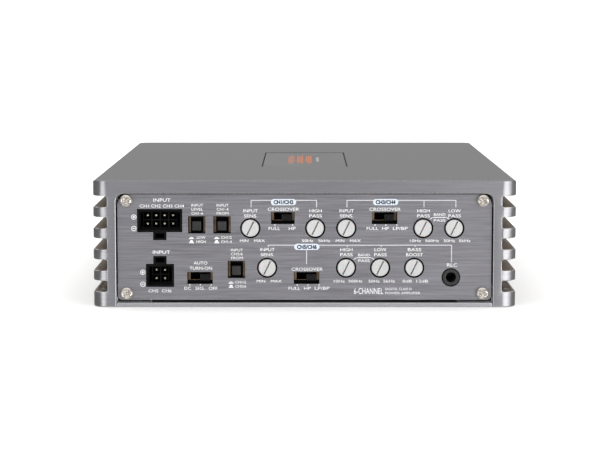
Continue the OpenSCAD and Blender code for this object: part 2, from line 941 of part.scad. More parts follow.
function ring_section(a, b, r) = concat(
    arc(a - r, b - r, r, 0, 90), arc(-a + r, b - r, r, 90, 180),
    arc(-a + r, -b + r, r, 180, 270), arc(a - r, -b + r, r, 270, 360));

module transformer_base() {
    color([0.08, 0.08, 0.09])
        translate([toroid[0], toroid[1], main_top]) {
            cylinder(r = toroid[2] + 1, h = 2);
            cylinder(r = toroid[3] - 1, h = toroid[4] + 4);
        }
}

module capacitors() {
    color([0.1, 0.12, 0.2])
        for (c = cans)
            translate([c[0], c[1], main_top])
                rotate_extrude()
                    polygon([[0, 0], [can_r - 0.6, 0], [can_r - 0.6, 1], [can_r, 1.6], [can_r, 3],
                             [can_r - 0.5, 3.6], [can_r, 4.2], [can_r, can_h - 0.8],
                             [can_r - 0.8, can_h], [0, can_h]]);
}

module output_inductors() {
    color([0.3, 0.3, 0.31])
        for (c = coils)
            difference() {
                stand(c[0], c[1], main_top, coil_size);
                translate([c[0], c[1], main_top + coil_size[2] - 1])
                    cylinder(r = 3.2, h = 2);
            }
}

// Flat-backed packages stand against the side walls, with their leads down in the board
module power_transistors() {
    x0 = inner_x - pad_t - transistor[1];
    color([0.09, 0.09, 0.1])
        both_sides()
            for (y = transistor_y) {
                box([x0, x0 + transistor[1]], [y - transistor[0] / 2, y + transistor[0] / 2],
                    [transistor_z, transistor_z + transistor[2]]);
                for (lead = [-2.54, 0, 2.54]) {
                    box([x0 + 0.4, x0 + 1.2], [y + lead - 0.4, y + lead + 0.4],
                        [transistor_z - 4, transistor_z + 0.01]);
                    box([board_half_x - 4, x0 + 1.2], [y + lead - 0.4, y + lead + 0.4],
                        [transistor_z - 4.8, transistor_z - 4]);
                    box([board_half_x - 4, board_half_x - 3.2], [y + lead - 0.4, y + lead + 0.4],
                        [main_top, transistor_z - 4.79]);
                }
            }
}

function span_y() = [transistor_y[0] - 6.5, transistor_y[len(transistor_y) - 1] + 6.5];

module thermal_pads() {
    color([0.7, 0.7, 0.66])
        both_sides()
            difference() {
                box([inner_x - pad_t, inner_x], span_y(), [transistor_z - 1, transistor_z + transistor[2] + 0.3]);
                for (y = clamp_screw_y())
                    translate([inner_x - 1, y, clamp_z])
                        rotate([0, 90, 0])
                            cylinder(r = clamp_screw_r + 0.2, h = 2);
            }
}

// One screw between each pair of transistors
function clamp_screw_y() = [for (i = [0:2:4]) (transistor_y[i] + transistor_y[i + 1]) / 2];

module transistor_clamps() {
    x1 = inner_x - pad_t - transistor[1];
    color([0.6, 0.6, 0.62])
        both_sides()
            difference() {
                box([x1 - clamp_t, x1], span_y(), [clamp_z - 4, clamp_z + 4]);
                for (y = clamp_screw_y())
                    translate([x1 - clamp_t - 1, y, clamp_z])
                        rotate([0, 90, 0])
                            cylinder(r = clamp_screw_r + 0.2, h = clamp_t + 2);
            }
}

module clamp_screws() {
    x = inner_x - pad_t - transistor[1] - clamp_t;
    color([0.8, 0.78, 0.74])
        both_sides()
            for (y = clamp_screw_y())
                translate([x, y, clamp_z])
                    rotate([0, -90, 0])
                        pan_screw(2.5, 1.8, clamp_screw_r, transistor[1] + clamp_t + pad_t + 5.2, 2.6);
}

// ---------- assembly ----------

heatsink_body();
badge_plate();
bottom_plate();
bottom_screws();
front_panel();
rear_panel();
panel_screws();
main_board();
main_board_screws();
control_board();
control_board_spacers();
control_board_screws();
riser_board();
riser_connectors();
input_header_8way();
input_header_4way();
input_header_pins();
trimmer_bodies();
push_switch_bodies();
slide_switch_bodies();
remote_jack();
jack_contact();
terminal_block();
terminal_busbars();
speaker_header();
speaker_header_pins();
fuse_holder();
status_led();
transformer_winding();
transformer_base();
capacitors();
output_inductors();
power_transistors();
thermal_pads();
transistor_clamps();
clamp_screws();
for (p = pots)
    trimmer_shaft(p);
for (p = pushes)
    push_cap(p);
for (s = slides)
    slide_knob(s);
for (f = fuses)
    blade_fuse(f);
for (t = terminals) {
    terminal_screw(t);
    terminal_cage(t);
}
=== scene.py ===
"""The looks of a compact car amplifier: finishes, printed legends, screws, windings and the studio."""

import math

import bmesh
import bpy
from mathutils import Matrix, Vector


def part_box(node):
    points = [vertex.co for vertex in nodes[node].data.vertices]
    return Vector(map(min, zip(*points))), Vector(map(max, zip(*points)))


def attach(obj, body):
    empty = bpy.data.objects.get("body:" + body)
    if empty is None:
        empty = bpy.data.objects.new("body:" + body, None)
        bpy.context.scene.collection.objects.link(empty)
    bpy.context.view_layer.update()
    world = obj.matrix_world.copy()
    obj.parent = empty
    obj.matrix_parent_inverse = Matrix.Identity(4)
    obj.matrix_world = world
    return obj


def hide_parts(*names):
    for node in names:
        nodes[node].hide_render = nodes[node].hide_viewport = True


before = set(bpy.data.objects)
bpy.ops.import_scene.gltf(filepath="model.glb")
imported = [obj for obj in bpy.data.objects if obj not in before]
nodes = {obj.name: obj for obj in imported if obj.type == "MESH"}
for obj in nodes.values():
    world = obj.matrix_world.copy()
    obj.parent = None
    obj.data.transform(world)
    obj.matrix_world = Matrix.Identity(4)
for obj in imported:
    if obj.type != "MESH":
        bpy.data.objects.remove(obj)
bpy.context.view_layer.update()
scene = bpy.context.scene

MM = 0.001


# ---------- places taken from the frame, in millimetres ----------

def centre_mm(node):
    low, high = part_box(node)
    return (low + high) / 2 / MM


def span_mm(node):
    low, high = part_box(node)
    return low / MM, high / MM


# Depth of the fins, heights on the heatsink, and the gaps round the front panel
FIN_DEPTH = 5.2
LOWEST_SLOT = 1.0
HIGHEST_SLOT = 42.0
ROOF_EDGE = 43.0
PANEL_SIDE_GAP = 0.5
PANEL_TOP_GAP = 0.2

body_low, body_high = span_mm("heatsink_body")
panel_low, panel_high = span_mm("front_panel")
rear_high = span_mm("rear_panel")[1]
badge_high = span_mm("badge_plate")[1]
slot_floor_x = body_high.x - FIN_DEPTH
opening_x = panel_high.x + PANEL_SIDE_GAP
ceiling_z = panel_high.z + PANEL_TOP_GAP


# ---------- materials ----------

RANGE_SOCKETS = ("From Min", "From Max", "To Min", "To Max")


class Finish:
    """A node material that is built up from a Principled shader and object coordinates."""

    def __init__(self, name, **sockets):
        self.material = bpy.data.materials.new(name)
        self.material.use_nodes = True
        self.tree = self.material.node_tree
        self.shader = self.tree.nodes["Principled BSDF"]
        self.coords = self.tree.nodes.new("ShaderNodeTexCoord").outputs["Object"]
        for socket, value in sockets.items():
            self.shader.inputs[socket.replace("_", " ")].default_value = value

    def node(self, kind, **inputs):
        made = self.tree.nodes.new(kind)
        for name, value in inputs.items():
            self.feed(made.inputs[name.replace("_", " ")], value)
        return made

    def feed(self, socket, value):
        """Links a node's output to a socket, or sets the socket's own value."""
        if isinstance(value, bpy.types.NodeSocket):
            self.tree.links.new(value, socket)
        else:
            socket.default_value = value

    def stretched(self, scale):
        """Object coordinates, scaled along each axis."""
        mapping = self.node("ShaderNodeMapping", Vector=self.coords)
        mapping.inputs["Scale"].default_value = scale
        return mapping.outputs["Vector"]

    def noise(self, scale, detail=2.0, stretch=(1, 1, 1), roughness=0.5):
        made = self.node("ShaderNodeTexNoise", Vector=self.stretched(stretch), Scale=scale,
                         Detail=detail, Roughness=roughness)
        return made.outputs["Fac"]

    def levels(self, value, low, high, out_low=0.0, out_high=1.0):
        made = self.node("ShaderNodeMapRange", Value=value)
        for name, number in zip(RANGE_SOCKETS, (low, high, out_low, out_high)):
            made.inputs[name].default_value = number
        return made.outputs["Result"]

    def mix(self, factor, first, second):
        made = self.tree.nodes.new("ShaderNodeMix")
        made.data_type = "RGBA"
        self.feed(made.inputs[0], factor)
        self.feed(made.inputs[6], first)
        self.feed(made.inputs[7], second)
        return made.outputs[2]

    def join(self, operation, first, second):
        made = self.tree.nodes.new("ShaderNodeMath")
        made.operation = operation
        self.feed(made.inputs[0], first)
        self.feed(made.inputs[1], second)
        return made.outputs[0]

    def over(self, value, limit):
        return self.join("GREATER_THAN", value, limit)

    def under(self, value, limit):
        return self.join("LESS_THAN", value, limit)

    def every(self, *masks):
        """1 where every mask is 1, and 0 elsewhere."""
        total = masks[0]
        for mask in masks[1:]:
            total = self.join("MULTIPLY", total, mask)
        return total

    def size(self, value):
        """A value without its sign."""
        made = self.tree.nodes.new("ShaderNodeMath")
        made.operation = "ABSOLUTE"
        self.feed(made.inputs[0], value)
        return made.outputs[0]

    def place(self):
        """Distances from the middle of the object: sideways, front to back, and the height."""
        parts = self.node("ShaderNodeSeparateXYZ", Vector=self.coords).outputs
        return self.size(parts["X"]), self.size(parts["Y"]), parts["Z"]

    def facing(self, axis):
        """How far the surface faces along an axis, from -1 to 1."""
        normal = self.tree.nodes.new("ShaderNodeNewGeometry").outputs["Normal"]
        return self.node("ShaderNodeSeparateXYZ", Vector=normal).outputs[axis]

    def colour(self, value):
        self.feed(self.shader.inputs["Base Color"], value)
        return self

    def rough(self, value):
        self.feed(self.shader.inputs["Roughness"], value)
        return self

    def metallic(self, value):
        self.feed(self.shader.inputs["Metallic"], value)
        return self

    def bump(self, height, depth_mm, strength):
        made = self.node("ShaderNodeBump", Height=height, Distance=depth_mm * MM, Strength=strength)
        self.feed(self.shader.inputs["Normal"], made.outputs["Normal"])
        return self


def rgb(red, green, blue):
    return (red, green, blue, 1.0)


def grey(level, tint=(1.0, 1.0, 1.0)):
    return rgb(*(level * part for part in tint))


COOL = (0.985, 0.99, 1.03)
WARM = (1.05, 1.0, 0.93)
STEEL = (0.99, 0.98, 1.065)

GRAIN_SCALE = 2600.0
GRAIN_DEPTH = 0.01
GRAIN_STRENGTH = 0.35


def blasted_metal(name, level, roughness, metallic):
    """Bead-blasted anodised aluminium: an even satin grey with a fine sandy grain."""
    f = Finish(name, Metallic=metallic)
    grain = f.noise(GRAIN_SCALE, 3.0)
    cloud = f.noise(45.0, 4.0)
    f.colour(f.mix(f.levels(grain, 0.3, 0.7), grey(level * 0.94, COOL), grey(level * 1.06, COOL)))
    f.rough(f.levels(cloud, 0.3, 0.7, roughness - 0.03, roughness + 0.03))
    return f.bump(grain, GRAIN_DEPTH, GRAIN_STRENGTH).material


def body_finish():
    """The anodised body: brushed ends, a warm brown with painted shade on the level faces in the cooling
    slots, and painted near-black shade on the inside.
    """
    f = Finish("body_metal")
    side, length, height = f.place()
    grain = f.noise(GRAIN_SCALE, 3.0)
    specks = f.noise(900.0, 4.0, roughness=0.7)
    brushing = f.noise(1.0, 3.0, (60.0, 1.0, 2400.0))
    end_face = f.over(f.size(f.facing("Y")), 0.7)
    texture = f.mix(end_face, grain, brushing)
    outside = f.mix(f.levels(texture, 0.35, 0.65), grey(0.5, COOL), grey(0.57, COOL))
    # Painted shade: the level faces inside the cooling slots are a warm brown, darkened, less metallic and
    # rougher
    shaded_slot_brown = f.mix(f.levels(specks, 0.35, 0.65), rgb(0.16, 0.135, 0.115), rgb(0.44, 0.38, 0.33))
    level_face = f.over(f.size(f.facing("Z")), 0.6)
    in_slot = f.every(level_face, f.over(side, (slot_floor_x + 0.15) * MM),
                      f.under(height, HIGHEST_SLOT * MM), f.over(height, LOWEST_SLOT * MM))
    # Painted shade: the inside of the body behind the panel is near black and less metallic, standing for
    # shadow
    painted_shade_inside = f.every(f.under(side, (opening_x + 0.1) * MM), f.under(height, (ceiling_z + 0.1) * MM),
                     f.under(length, (body_high.y - 2) * MM))
    f.colour(f.mix(painted_shade_inside, f.mix(in_slot, outside, shaded_slot_brown), grey(0.02)))
    masked = f.join("ADD", in_slot, painted_shade_inside)
    f.metallic(f.levels(masked, 0.0, 1.0, 0.96, 0.45))
    f.rough(f.levels(masked, 0.0, 1.0, 0.3, 0.55))
    return f.bump(grain, GRAIN_DEPTH, GRAIN_STRENGTH).material


def edge_finish():
    """Bright cut edges. Round the roof they are painted darker to dim their highlight, and round the inlay
    painted near black as a shadow gap.
    """
    f = Finish("cut_metal", Metallic=1.0)
    side, length, height = f.place()
    grain = f.noise(GRAIN_SCALE, 3.0)
    on_roof = f.over(height, ROOF_EDGE * MM)
    badge_shadow_rim = f.every(on_roof, f.under(side, (badge_high.x + 1) * MM),
                       f.under(length, (badge_high.y + 1) * MM))
    # Painted shade: darker roof edges dim their highlight; near-black edges round the inlay stand for a
    # shadow gap
    f.colour(f.mix(badge_shadow_rim, f.mix(on_roof, grey(0.95, COOL), grey(0.4, COOL)), grey(0.03)))
    f.rough(f.levels(grain, 0.3, 0.7, 0.25, 0.31))
    return f.bump(grain, GRAIN_DEPTH, GRAIN_STRENGTH).material


def brushed_metal(name, level, roughness):
    """Metal brushed from left to right, with fine streaks. Faces that do not look front or back, the walls
    of its holes and its edges, are painted near black as shade.
    """
    f = Finish(name, Metallic=0.9, Anisotropic=0.75)
    tangent = f.tree.nodes.new("ShaderNodeTangent")
    tangent.direction_type = "RADIAL"
    tangent.axis = "Z"
    f.feed(f.shader.inputs["Tangent"], tangent.outputs["Tangent"])
    fine = f.noise(1.0, 3.0, (110.0, 1.0, 4200.0))
    broad = f.noise(1.0, 2.0, (33.0, 1.0, 1260.0))
    streaks = f.join("ADD", fine, broad)
    face = f.mix(f.levels(streaks, 0.7, 1.3), grey(level * 0.8, STEEL), grey(level * 1.2, STEEL))
    # Painted shade: hole walls and panel edges are near black
    f.colour(f.mix(f.over(f.size(f.facing("Y")), 0.6), grey(0.02), face))
    f.rough(f.levels(streaks, 0.7, 1.3, roughness - 0.05, roughness + 0.07))
    return f.bump(fine, 0.008, 0.3).material


def plated_metal(name, low, high, roughness, metallic=1.0):
    """Plated steel or brass, with faint clouding and tool marks."""
    f = Finish(name, Metallic=metallic)
    cloud = f.noise(600.0, 4.0)
    marks = f.noise(5000.0, 2.0)
    f.colour(f.mix(f.levels(cloud, 0.3, 0.7), low, high))
    f.rough(f.levels(marks, 0.3, 0.7, roughness - 0.06, roughness + 0.08))
    return f.bump(marks, 0.006, 0.3).material


def moulded_plastic(name, low, high, roughness, depth_mm=0.02, **sockets):
    """Moulded plastic with a spark-eroded fine texture."""
    f = Finish(name, **sockets)
    cloud = f.noise(180.0, 3.0)
    pits = f.noise(4200.0, 2.0)
    f.colour(f.mix(f.levels(cloud, 0.3, 0.7), low, high))
    f.rough(f.levels(pits, 0.3, 0.7, roughness - 0.06, roughness + 0.06))
    return f.bump(pits, depth_mm, 0.4).material


def board_laminate(name):
    """Green solder mask over copper tracks: blocks of track run each way, with a pour between them."""
    f = Finish(name, Specular_IOR_Level=0.5)
    tracks_x = f.node("ShaderNodeTexWave", Vector=f.stretched((1, 0.02, 1)), Scale=420.0, Distortion=6.0)
    tracks_y = f.node("ShaderNodeTexWave", Vector=f.stretched((0.02, 1, 1)), Scale=420.0, Distortion=6.0)
    tracks_y.bands_direction = "Y"
    patch = f.levels(f.noise(38.0, 0.0), 0.49, 0.51)
    track = f.mix(patch, tracks_x.outputs["Color"], tracks_y.outputs["Color"])
    copper = f.levels(track, 0.55, 0.62)
    f.colour(f.mix(copper, rgb(0.006, 0.055, 0.02), rgb(0.015, 0.13, 0.045)))
    f.rough(f.levels(f.noise(900.0, 2.0), 0.3, 0.7, 0.25, 0.4))
    return f.bump(copper, 0.03, 0.5).material


def printed_ink(name, low, high, **sockets):
    """Screen-printed ink, with the slight mottle of a mesh."""
    f = Finish(name, **sockets)
    mottle = f.noise(3000.0, 2.0)
    f.colour(f.mix(f.levels(mottle, 0.3, 0.7), low, high))
    f.rough(f.levels(mottle, 0.3, 0.7, 0.45, 0.6))
    return f.bump(mottle, 0.004, 0.3).material


def clear_plastic(name, red, green, blue):
    """Tinted transparent plastic, with flow marks."""
    f = Finish(name, Transmission_Weight=0.7, IOR=1.5)
    flow = f.noise(120.0, 3.0, (1, 3, 1))
    thick = rgb(red * 0.75, green * 0.75, blue * 0.75)
    f.colour(f.mix(f.levels(flow, 0.3, 0.7), thick, rgb(red, green, blue)))
    f.rough(f.levels(flow, 0.3, 0.7, 0.15, 0.25))
    return f.bump(flow, 0.03, 0.2).material


def enamelled_copper(name):
    """Copper wire under a glossy amber enamel."""
    f = Finish(name, Metallic=0.85, Coat_Weight=0.6, Coat_Roughness=0.1)
    tone = f.noise(900.0, 3.0)
    f.colour(f.mix(f.levels(tone, 0.3, 0.7), rgb(0.42, 0.13, 0.04), rgb(0.66, 0.25, 0.09)))
    f.rough(f.levels(tone, 0.3, 0.7, 0.22, 0.34))
    return f.bump(tone, 0.01, 0.3).material


body_metal = body_finish()
badge_metal = blasted_metal("badge_metal", 0.535, 0.3, 0.96)
cut_metal = edge_finish()
plate_metal = blasted_metal("plate_metal", 0.66, 0.36, 0.9)
panel_metal = brushed_metal("panel_metal", 0.299, 0.38)
nickel = plated_metal("nickel", grey(0.62, WARM), grey(0.88, WARM), 0.09, 0.92)
zinc = plated_metal("zinc", grey(0.5, COOL), grey(0.68, COOL), 0.32)
dark_steel = plated_metal("dark_steel", grey(0.09), grey(0.16), 0.38)
contact_tin = plated_metal("contact_tin", rgb(0.72, 0.66, 0.54), rgb(0.92, 0.86, 0.72), 0.4, 0.6)
brass = plated_metal("brass", rgb(0.6, 0.4, 0.14), rgb(0.8, 0.58, 0.26), 0.28)
shield = plated_metal("shield", rgb(0.4, 0.27, 0.17), rgb(0.6, 0.45, 0.31), 0.34)
black_plastic = moulded_plastic("black_plastic", grey(0.003), grey(0.006), 0.45,
                                Specular_IOR_Level=0.08)
charcoal_plastic = moulded_plastic("charcoal_plastic", grey(0.022), grey(0.034), 0.38)
cap_plastic = moulded_plastic("cap_plastic", grey(0.018, COOL), grey(0.03, COOL), 0.45)
knob_plastic = moulded_plastic("knob_plastic", grey(0.004, COOL), grey(0.008, COOL), 0.42,
                               Specular_IOR_Level=0.35)
nylon = moulded_plastic("nylon", grey(0.46), grey(0.51), 0.4, 0.01, Subsurface_Weight=0.15,
                        Subsurface_Scale=0.8 * MM)
package_epoxy = moulded_plastic("package_epoxy", grey(0.006), grey(0.012), 0.5,
                                Specular_IOR_Level=0.2)
ferrite = moulded_plastic("ferrite", grey(0.05), grey(0.09), 0.55, 0.04)
silicone = moulded_plastic("silicone", rgb(0.42, 0.4, 0.36), rgb(0.5, 0.48, 0.43), 0.7, 0.03)
can_sleeve = moulded_plastic("can_sleeve", rgb(0.006, 0.008, 0.016), rgb(0.01, 0.014, 0.03), 0.2, 0.01)
laminate = board_laminate("laminate")
white_ink = printed_ink("white_ink", grey(0.8), grey(0.86))
grey_ink = printed_ink("grey_ink", grey(0.52, COOL), grey(0.6, COOL))
# Near-black ink for the painted shadow rims round the trimmer holes and along the panel's top
shadow_ink = printed_ink("shadow_ink", grey(0.002), grey(0.004), Specular_IOR_Level=0.05)
pill_ink = printed_ink("pill_ink", rgb(0.56, 0.62, 0.7), rgb(0.62, 0.68, 0.76))
dark_ink = printed_ink("dark_ink", rgb(0.005, 0.009, 0.018), rgb(0.01, 0.016, 0.03),
                       Specular_IOR_Level=0.2)
orange_ink = printed_ink("orange_ink", rgb(0.44, 0.14, 0.065), rgb(0.56, 0.19, 0.095))
pale_ink = printed_ink("pale_ink", grey(0.3), grey(0.36))
led_blue = clear_plastic("led_blue", 0.25, 0.5, 1.0)
fuse_green = clear_plastic("fuse_green", 0.1, 0.62, 0.22)
copper_wire = enamelled_copper("copper_wire")


# ---------- finishes and edges of the CAD nodes ----------

def smooth_recipe():
    """Geometry nodes that drop the imported normals and shade every face smooth."""
    recipe = bpy.data.node_groups.new("smooth_recipe", "GeometryNodeTree")
    for direction in ("INPUT", "OUTPUT"):
        recipe.interface.new_socket("Geometry", in_out=direction, socket_type="NodeSocketGeometry")
    drop = recipe.nodes.new("GeometryNodeRemoveAttribute")
    drop.inputs["Name"].default_value = "custom_normal"
    chain = [recipe.nodes.new("NodeGroupInput"), drop, recipe.nodes.new("GeometryNodeSetShadeSmooth"),
             recipe.nodes.new("NodeGroupOutput")]
    for first, second in zip(chain, chain[1:]):
        recipe.links.new(first.outputs[0], second.inputs[0])
    return recipe


SMOOTH = smooth_recipe()
WELD_DISTANCE = 0.002
SHARP_ANGLE = math.radians(32)


def finish_node(node, material, edge=0.0, cut=None, segments=2):
    """Gives a node its material. Sharp edges are rounded by edge millimetres, in the cut material."""
    piece = nodes[node]
    piece.data.materials.clear()
    piece.data.materials.append(material)
    for face in piece.data.polygons:
        face.material_index = 0
    if edge > 0:
        weld = piece.modifiers.new("weld", "WELD")
        weld.merge_threshold = WELD_DISTANCE * MM
        piece.modifiers.new("smooth", "NODES").node_group = SMOOTH
        bevel = piece.modifiers.new("edges", "BEVEL")
        bevel.width = edge * MM
        bevel.segments = segments
        bevel.limit_method = "ANGLE"
        bevel.angle_limit = SHARP_ANGLE
        bevel.miter_outer = "MITER_ARC"
        bevel.use_clamp_overlap = False
        if cut is not None:
            piece.data.materials.append(cut)
            bevel.material = 1
        weights = piece.modifiers.new("shading", "WEIGHTED_NORMAL")
        weights.keep_sharp = False
        weights.weight = 80


finish_node("heatsink_body", body_metal, 0.24, cut_metal)
finish_node("badge_plate", badge_metal, 0.06)
finish_node("bottom_plate", plate_metal, 0.15, cut_metal)
finish_node("bottom_screws", dark_steel, 0.08)
finish_node("front_panel", panel_metal)
finish_node("rear_panel", panel_metal)
finish_node("main_board", laminate, 0.05)
finish_node("control_board", laminate, 0.05)
finish_node("riser_board", laminate, 0.05)
finish_node("main_board_screws", zinc, 0.08)
finish_node("control_board_screws", zinc, 0.08)
finish_node("control_board_spacers", brass, 0.1)
finish_node("riser_connectors", black_plastic, 0.12)
finish_node("input_header_8way", black_plastic, 0.08)
finish_node("input_header_4way", black_plastic, 0.08)
finish_node("speaker_header", black_plastic, 0.1)
finish_node("input_header_pins", contact_tin, 0.1)
finish_node("speaker_header_pins", contact_tin, 0.1)
finish_node("trimmer_bodies", package_epoxy, 0.2)
finish_node("push_switch_bodies", black_plastic, 0.12)
finish_node("slide_switch_bodies", black_plastic, 0.1)
finish_node("remote_jack", charcoal_plastic, 0.15)
finish_node("jack_contact", contact_tin, 0.12)
finish_node("terminal_block", black_plastic)
finish_node("terminal_busbars", brass, 0.15)
finish_node("fuse_holder", black_plastic, 0.3, segments=3)
finish_node("status_led", led_blue)
finish_node("transformer_base", package_epoxy, 0.3)
finish_node("capacitors", can_sleeve, 0.15)
finish_node("output_inductors", ferrite, 0.4, segments=3)
finish_node("power_transistors", package_epoxy, 0.1)
finish_node("thermal_pads", silicone, 0.05)
finish_node("transistor_clamps", zinc, 0.2)
finish_node("clamp_screws", zinc, 0.1)
for node in nodes:
    if node.startswith("shaft_"):
        finish_node(node, nylon, 0.12)
    elif node.startswith("cap_"):
        finish_node(node, cap_plastic, 0.25, segments=3)
    elif node.startswith("knob_"):
        finish_node(node, knob_plastic, 0.12)
    elif node.startswith("screw_"):
        finish_node(node, nickel, 0.15)
    elif node.startswith("cage_"):
        finish_node(node, contact_tin, 0.2)
    elif node.startswith("fuse_") and node != "fuse_holder":
        finish_node(node, fuse_green, 0.35, segments=3)


# ---------- screws, windings and shields that stand for or join the CAD nodes ----------

def add_piece(name, mesh, material, replaces=None, smooth=False):
    """Makes an object of a bmesh in metres, fixed to the body of the amplifier."""
    data = bpy.data.meshes.new(name)
    bmesh.ops.recalc_face_normals(mesh, faces=mesh.faces)
    mesh.to_mesh(data)
    mesh.free()
    data.materials.append(material)
    for face in data.polygons:
        face.use_smooth = smooth
    piece = bpy.data.objects.new(name, data)
    scene.collection.objects.link(piece)
    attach(piece, "root")
    if replaces:
        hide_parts(replaces)
    return piece


def prism(mesh, low, high, shrink=0.0):
    """A box between two corners in millimetres. Its low end is narrower by shrink on each side."""
    corners = []
    for z, inset in ((low[2], shrink), (high[2], 0.0)):
        for x, y in ((low[0] + inset, low[1] + inset), (high[0] - inset, low[1] + inset),
                     (high[0] - inset, high[1] - inset), (low[0] + inset, high[1] - inset)):
            corners.append(mesh.verts.new(Vector((x, y, z)) * MM))
    sides = [(0, 1, 5, 4), (1, 2, 6, 5), (2, 3, 7, 6), (3, 0, 4, 7), (3, 2, 1, 0), (4, 5, 6, 7)]
    for side in sides:
        mesh.faces.new([corners[i] for i in side])
    return corners


def lathe(mesh, profile, steps=32):
    """Turns a profile of radius and height in millimetres about the Z axis."""
    rings = []
    for radius, height in profile:
        if radius == 0:
            rings.append([mesh.verts.new((0, 0, height * MM))])
        else:
            turn = [2 * math.pi * i / steps for i in range(steps)]
            rings.append([mesh.verts.new(Vector((radius * math.cos(a), radius * math.sin(a), height)) * MM)
                          for a in turn])
    for lower, upper in zip(rings, rings[1:]):
        for i in range(steps):
            j = (i + 1) % steps
            quad = [lower[i % len(lower)], lower[j % len(lower)],
                    upper[j % len(upper)], upper[i % len(upper)]]
            mesh.faces.new(list(dict.fromkeys(quad)))


HEAD_RADIUS = 2.35
SHANK_RADIUS = 1.2
SHANK_END = -8.5
SCREW_PROFILE = [(0, 1.5), (1.3, 1.47), (1.75, 1.36), (2.05, 1.12), (2.24, 0.76), (2.33, 0.35),
                 (HEAD_RADIUS, 0.0), (SHANK_RADIUS, 0.0), (SHANK_RADIUS, SHANK_END), (0, SHANK_END)]
RECESS_TOP = 1.6
RECESS_TAPER = 0.56


def cross_screw():
    """One pan-head screw with a tapered cross recess, standing on z = 0."""
    blank = bmesh.new()
    lathe(blank, SCREW_PROFILE)
    tool = bmesh.new()
    arm = (1.75, 0.66, 0.75)
    hub = (0.86, 0.86, 0.45)
    for turn, (half_x, half_y, floor) in ((0, arm), (90, arm), (45, hub)):
        bar = prism(tool, (-half_x, -half_y, floor), (half_x, half_y, RECESS_TOP), RECESS_TAPER)
        spin = Matrix.Rotation(math.radians(turn), 3, "Z")
        bmesh.ops.rotate(tool, verts=bar, cent=(0, 0, 0), matrix=spin)
    pieces = []
    for name, mesh in (("blank", blank), ("tool", tool)):
        bmesh.ops.recalc_face_normals(mesh, faces=mesh.faces)
        data = bpy.data.meshes.new(name)
        mesh.to_mesh(data)
        mesh.free()
        pieces.append(bpy.data.objects.new(name, data))
        scene.collection.objects.link(pieces[-1])
    cut = pieces[0].modifiers.new("recess", "BOOLEAN")
    cut.operation = "DIFFERENCE"
    cut.solver = "EXACT"
    cut.use_self = True
    cut.object = pieces[1]
    bevel = pieces[0].modifiers.new("edges", "BEVEL")
    bevel.width = 0.05 * MM
    bevel.limit_method = "ANGLE"
    bevel.angle_limit = math.radians(40)
    made = pieces[0].evaluated_get(bpy.context.evaluated_depsgraph_get())
    result = bpy.data.meshes.new_from_object(made)
    for piece in pieces:
        bpy.data.objects.remove(piece)
    return result


def panel_screws():
    """The eight screws of the two end panels, each turned to where it happened to stop."""
    one = cross_screw()
    joined = bmesh.new()
    low, high = span_mm("panel_screws")
    stops = iter((12, 68, 31, 49, 75, 20, 57, 38))
    for x in (low.x + HEAD_RADIUS, high.x - HEAD_RADIUS):
        for z in (low.z + HEAD_RADIUS, high.z - HEAD_RADIUS):
            for y, lean in ((panel_low.y, 90), (rear_high.y, -90)):
                place = (Matrix.Translation(Vector((x, y, z)) * MM)
                         @ Matrix.Rotation(math.radians(lean), 4, "X")
                         @ Matrix.Rotation(math.radians(next(stops)), 4, "Z"))
                copy = one.copy()
                copy.transform(place)
                joined.from_mesh(copy)
                bpy.data.meshes.remove(copy)
    piece = add_piece("cross_recess_screws", joined, nickel, "panel_screws", smooth=True)
    piece.data.set_sharp_from_angle(angle=math.radians(35))


# Each slide knob, the middle of its window and half the window's width
SLIDE_WINDOWS = (("knob_turn_on", -36.9, 4.5), ("knob_crossover_a", -7.65, 4.15),
                 ("knob_crossover_b", 28.15, 4.5), ("knob_crossover_c", 0.7, 4.5))
WINDOW_GAP = 0.15


def switch_shields():
    """Folded metal shields inside the switch windows, beside each button and knob."""
    mesh = bmesh.new()
    front = span_mm("slide_switch_bodies")[0].y
    for node, x, half_width in SLIDE_WINDOWS:
        z = centre_mm(node).z
        reach = half_width - WINDOW_GAP
        for side in (-1, 1):
            edges = sorted((x + side * reach, x + side * (reach - 0.8)))
            prism(mesh, (edges[0], front - 0.35, z - 1.0), (edges[1], front, z + 1.9))
        for low_z, high_z in ((z + 1.75, z + 1.98), (z - 1.12, z - 0.98)):
            prism(mesh, (x - reach, front - 0.3, low_z), (x + reach, front, high_z))
    front = span_mm("push_switch_bodies")[0].y
    for node in ("cap_level", "cap_source_a", "cap_source_c"):
        c = centre_mm(node)
        for side in (-1, 1):
            edges = sorted((c.x + side * 2.9, c.x + side * 2.25))
            prism(mesh, (edges[0], front - 0.3, c.z - 2.6), (edges[1], front, c.z + 2.9))
    add_piece("switch_shields", mesh, shield)


CORE_HOLE_RADIUS = 8.5
WIRE_RADIUS = 0.62
WIRE_TURNS = 40
STEPS_PER_TURN = 16


